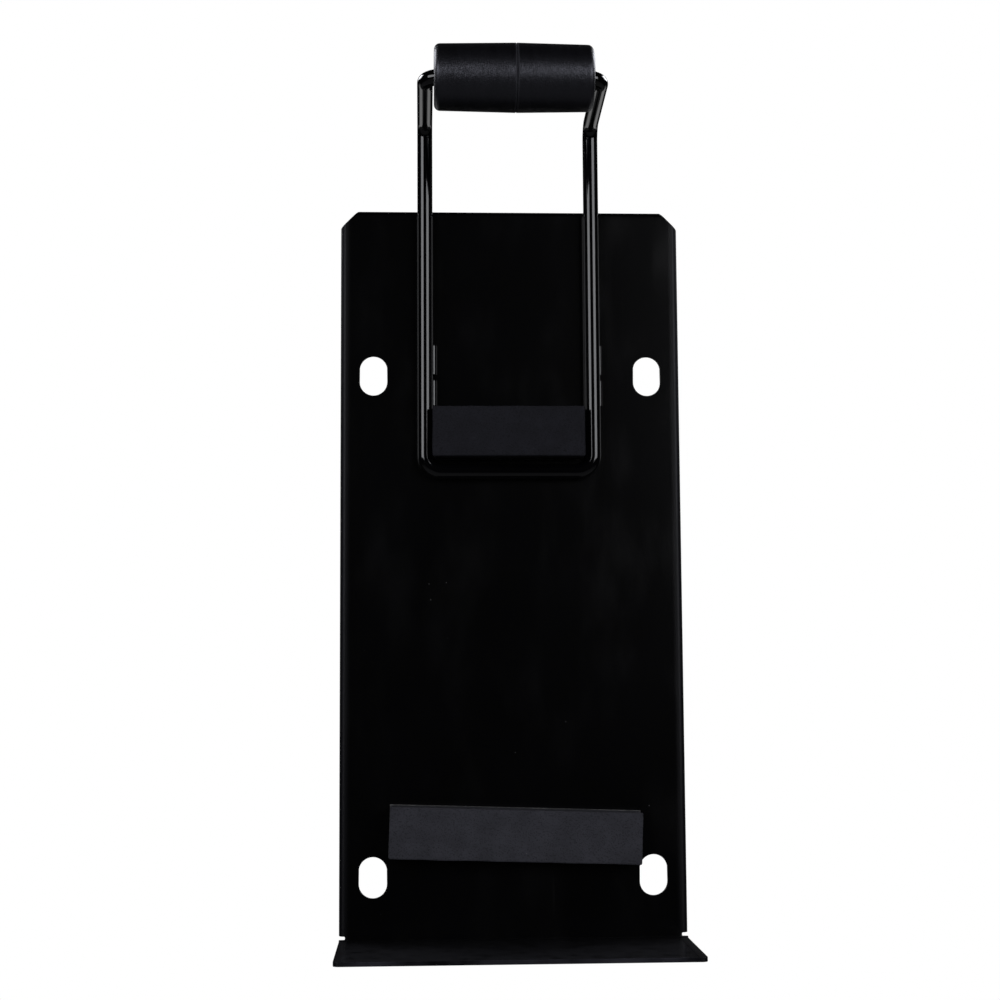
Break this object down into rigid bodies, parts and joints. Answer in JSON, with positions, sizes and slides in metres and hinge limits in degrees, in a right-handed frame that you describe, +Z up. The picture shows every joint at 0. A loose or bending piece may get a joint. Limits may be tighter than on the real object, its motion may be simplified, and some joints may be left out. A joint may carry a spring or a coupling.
{
  "type": "computer wall holder",
  "caption": "Wall-hung computer holder: folded steel panel with slots and a ledge, foam pads, and a bent wire bail with turning grip sleeves.",
  "frame": {"origin": "middle of the top flange's rear edge, on the wall plane", "axes": "+X to the right and +Z up for someone facing the wall, +Y into the wall"},
  "size_m": [0.124, 0.0673, 0.3117],
  "materials": {
    "panel_coat": "gloss black powder coat",
    "wire_coat": "gloss black powder coat",
    "sleeve_rubber": "satin black rubber",
    "pad_foam": "matte black closed-cell foam",
    "adhesive": "dull adhesive film"
  },
  "bodies": {
    "holder": {"back_panel": "panel_coat", "bail_wire": "wire_coat", "left_leg_welds": "wire_coat", "right_leg_welds": "wire_coat", "upper_pad": "pad_foam", "upper_pad_adhesive": "adhesive", "lower_pad": "pad_foam", "lower_pad_adhesive": "adhesive"},
    "left_sleeve": {"left_grip_sleeve": "sleeve_rubber"},
    "right_sleeve": {"right_grip_sleeve": "sleeve_rubber"}
  },
  "joints": [
    {"name": "left_sleeve_spin", "type": "hinge", "parent": "holder", "child": "left_sleeve", "pos_m": [-0.014, -0.0555, 0.03555], "axis": [1, 0, 0], "continuous": true},
    {"name": "right_sleeve_spin", "type": "hinge", "parent": "holder", "child": "right_sleeve", "pos_m": [0.0136, -0.0555, 0.03555], "axis": [1, 0, 0], "continuous": true}
  ]
}
